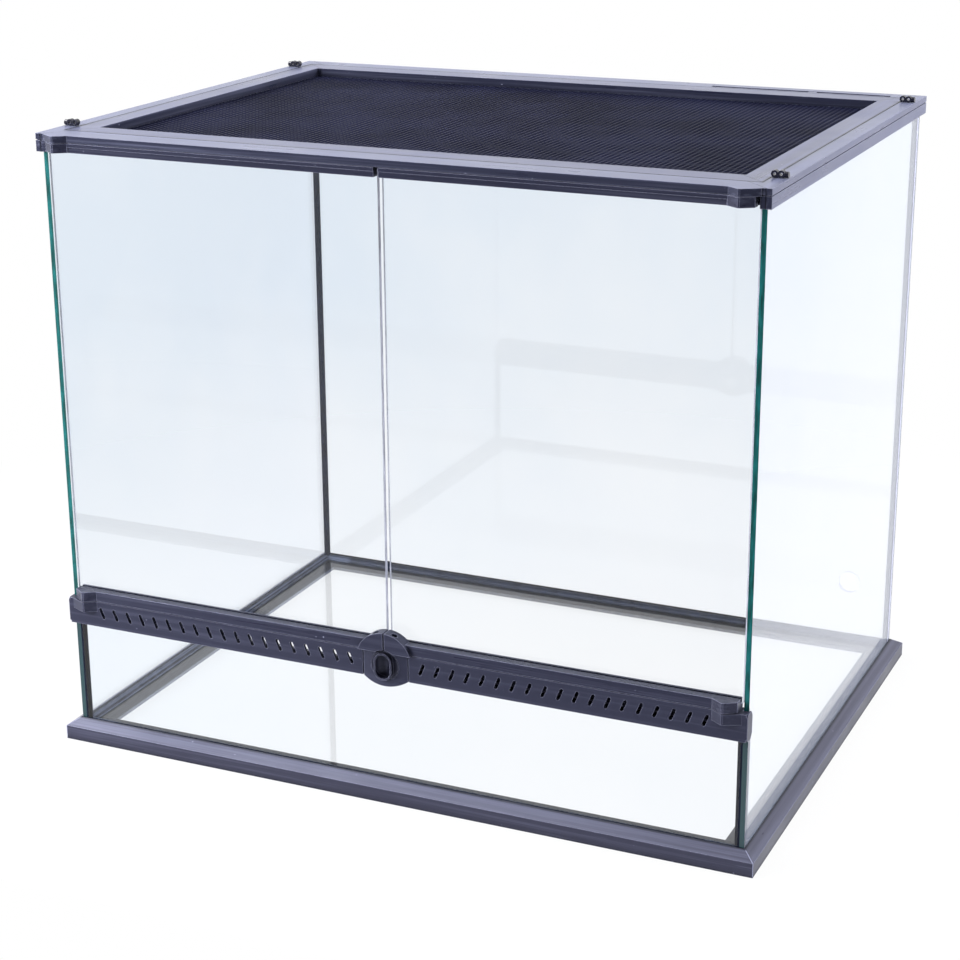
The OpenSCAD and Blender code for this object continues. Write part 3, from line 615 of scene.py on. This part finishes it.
def dress_plastics():
    panes = (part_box("right_side_glass")[1].x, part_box("back_glass")[1].y)
    # its mitre lines are pale: rubbed wear with a painted highlight
    dress(moulded_plastic("base_plastic", BASE_BLACK, BASE_DUST_AND_SHEEN, 0.36, span(BASE_LOW, BASE_HIGH),
                          seam=RUBBED_EDGE_AND_GLINT, gap=panes, gap_shade=LEDGE_SHADE, under_glass=True,
                          streaks=0.3, sheen=0.10), "base_frame")
    beside_lid = (LID_HIGH.x + LID_GAP_MIDDLE, LID_HIGH.y + LID_GAP_MIDDLE)
    dark_seam = scaled(FRAME_BLACK, 0.3)
    # painted sheen pales its left and right walls
    dress(moulded_plastic("top_plastic", FRAME_BLACK, FRAME_DUST_AND_SHEEN, 0.33, span(TOP_LOW, TOP_HIGH),
                          seam=dark_seam, gap=beside_lid, painted_sides=1.0, sheen=0.28, ior=1.47),
          "top_frame")
    dress(moulded_plastic("lid_plastic", FRAME_BLACK, FRAME_DUST_AND_SHEEN, 0.33, span(LID_LOW, LID_HIGH),
                          seam=dark_seam, gap=beside_lid), "lid_frame", "screen_retainer")
    dress(moulded_plastic("slide_plastic", FRAME_BLACK, FRAME_DUST_AND_SHEEN, 0.34), "cable_slide")
    strip = moulded_plastic("strip_plastic", DOOR_BLACK, DOOR_DUST_AND_SHEEN, 0.36, streaks=0.18, ior=1.42)
    dress(strip, "left_vent_strip", "right_vent_strip", "lock_housing")
    strip_shade_plate(strip)
    # the rails' crests: rubbed wear with painted highlight lines
    rail = moulded_plastic("rail_plastic", DOOR_BLACK, DOOR_DUST_AND_SHEEN, 0.30, streaks=0.22, wear_and_glint=0.9,
                           ior=1.42)
    for side in ("left", "right"):
        dress(rail, *(f"{side}_door_{part}" for part in ("top_rail", "bottom_rail", "ear")))
    dress(moulded_plastic("knob_plastic", KNOB_BLACK, KNOB_BLACK, 0.30, streaks=0.15,
                          sheen=0.05), "lock_knob")


def dress_panes():
    strip_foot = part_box("left_vent_strip")[0].z
    dress(clear_pane("side_pane", X, shaded_below=strip_foot, slant_glare=0.22),
          "left_side_glass", "right_side_glass")
    # the rear and lower panes' edges are painted pale, as a reflection
    lilac_reflection = (EDGE_LILAC_REFLECTION, scaled(EDGE_LILAC_REFLECTION, 0.7))
    dress(clear_pane("rear_pane", Y, *lilac_reflection), "back_glass")
    dress(clear_pane("lower_pane", Y, *lilac_reflection, deep=LOWER_TINT_DEEP), "lower_front_glass")
    dress(clear_pane("door_pane", Y, EDGE_PALE, scaled(EDGE_PALE, 0.5), tint=DOOR_TINT),
          "left_door_glass", "right_door_glass")
    dress(clear_pane("floor_pane", Z, tint=FLOOR_TINT, deep=FLOOR_TINT_DEEP), "floor_glass")


def dress_sealant():
    dress(black_sealant("floor_silicone", 0.22, 1.24, span(BEAD_LOW, BEAD_HIGH)),
          "floor_sealant")
    dress(black_sealant("corner_silicone", 0.36, 1.26), "corner_sealant")


def dress_clips_and_steel():
    dress(glossy_plastic(), *CLIPS)
    dress(bright_steel(), "left_door_pins", "right_door_pins", "lock_cam", "lock_washer",
          "lock_screw", *(clip + "_pin" for clip in CLIPS))


# ---- stage ----

def pale_floor():
    """A pale floor that keeps the soft shadow near the object and fades to white. It ends
    close in front, so the panes mirror the darker studio instead."""
    f = Finish("pale_floor")
    away = f.node("VectorMath", {"operation": "LENGTH"}, Vector=f.place()).outputs["Value"]
    white_share = f.ranged(away, *FLOOR_FADE, 0.94, 1.0)
    rays = f.node("LightPath").outputs
    seen = f.maths("MAXIMUM", f.maths("MAXIMUM", rays["Is Camera Ray"], rays["Is Glossy Ray"]),
                   rays["Is Transmission Ray"])
    lit = f.shader(Base_Color=FLOOR_PALE, Roughness=0.9, IOR=1.3)
    white = f.node("Emission", Color=WHITE, Strength=1.0).outputs[0]
    mesh = bpy.data.meshes.new("floor")
    mesh.from_pydata([(-FLOOR_REACH, FLOOR_FRONT, 0), (FLOOR_REACH, FLOOR_FRONT, 0),
                      (FLOOR_REACH, FLOOR_REACH, 0), (-FLOOR_REACH, FLOOR_REACH, 0)],
                     [], [(0, 1, 2, 3)])
    mesh.materials.append(f.end(f.blended(f.maths("MULTIPLY", seen, white_share), lit, white)))
    added("floor", mesh)


def white_room():
    """A white surround, seen as white by the camera and through glass. As light and in gloss
    it is dimmer to the front right, where the studio is darker."""
    world = bpy.data.worlds.new("white_room")
    bpy.context.scene.world = world
    world.use_nodes = True
    w = Wiring(world.node_tree)
    rays = w.node("LightPath").outputs
    darkward = w.dot(w.node("TexCoord").outputs["Generated"], DARK_SIDE)
    light = w.node("Background", Color=ROOM_LIGHT, Strength=w.ranged(darkward, *ROOM_AS_LIGHT))
    direct = w.maths("MAXIMUM", rays["Is Camera Ray"], rays["Is Transmission Ray"])
    gloss = w.ranged(darkward, *ROOM_IN_GLOSS)
    seen = w.node("Background", Color=WHITE, Strength=w.maths("MAXIMUM", direct, gloss))
    sees_white = w.maths("MAXIMUM", direct, rays["Is Glossy Ray"])
    w.node("OutputWorld", Surface=w.blended(sees_white, light.outputs[0], seen.outputs[0]))


def softbox(name, at, aim, side, power, colour=WHITE):
    """A square lamp at one point, aimed at another."""
    lamp = bpy.data.lights.new(name, "AREA")
    lamp.shape = "RECTANGLE"
    lamp.size = lamp.size_y = side
    lamp.energy = power
    lamp.color = colour
    box = added(name, lamp)
    box.location = at
    box.rotation_euler = (Vector(aim) - Vector(at)).to_track_quat("-Z", "Y").to_euler()
    return box


def lights():
    softbox("overhead_softbox", at=(-1.1, -0.2, 2.1), aim=(-0.1, 0.0, 0.3), side=1.1, power=40.0)
    left = softbox("left_softbox", at=(-1.0, -1.0, 0.7), aim=(-0.3, -0.1, 0.25), side=0.6,
                   power=19.0, colour=LEFT_LIGHT)
    left.visible_glossy = False             # or it shows as a patch on the panes
    left.visible_transmission = False
    softbox("right_softbox", at=(2.2, 0.6, 1.3), aim=(0.0, 0.0, 0.3), side=1.2, power=43.0,
            colour=ROOM_LIGHT)


def camera():
    """Looks down on the terrarium from its front right."""
    level = Vector((math.sin(CAMERA_YAW), math.cos(CAMERA_YAW), 0.0))
    across = Vector((math.cos(CAMERA_YAW), -math.sin(CAMERA_YAW), 0.0))
    upright = Vector((0.0, 0.0, 1.0))
    ahead = level * math.cos(CAMERA_PITCH) - upright * math.sin(CAMERA_PITCH)
    above = level * math.sin(CAMERA_PITCH) + upright * math.cos(CAMERA_PITCH)
    right = across * math.cos(CAMERA_ROLL) + above * math.sin(CAMERA_ROLL)
    above = above * math.cos(CAMERA_ROLL) - across * math.sin(CAMERA_ROLL)
    data = bpy.data.cameras.new("camera")
    data.sensor_width = 36.0
    data.lens = CAMERA_LENS
    data.clip_start, data.clip_end = 0.05, 50.0
    eye = added("camera", data)
    turn = Matrix((right, above, -ahead)).transposed().to_4x4()
    eye.matrix_world = Matrix.Translation(CAMERA_PLACE) @ turn
    bpy.context.scene.camera = eye


dress_plastics()
dress_panes()
dress_sealant()
dress_clips_and_steel()
lid_screens(coated_metal())
pale_floor()
white_room()
lights()
camera()
bpy.context.scene.view_settings.view_transform = "Standard"
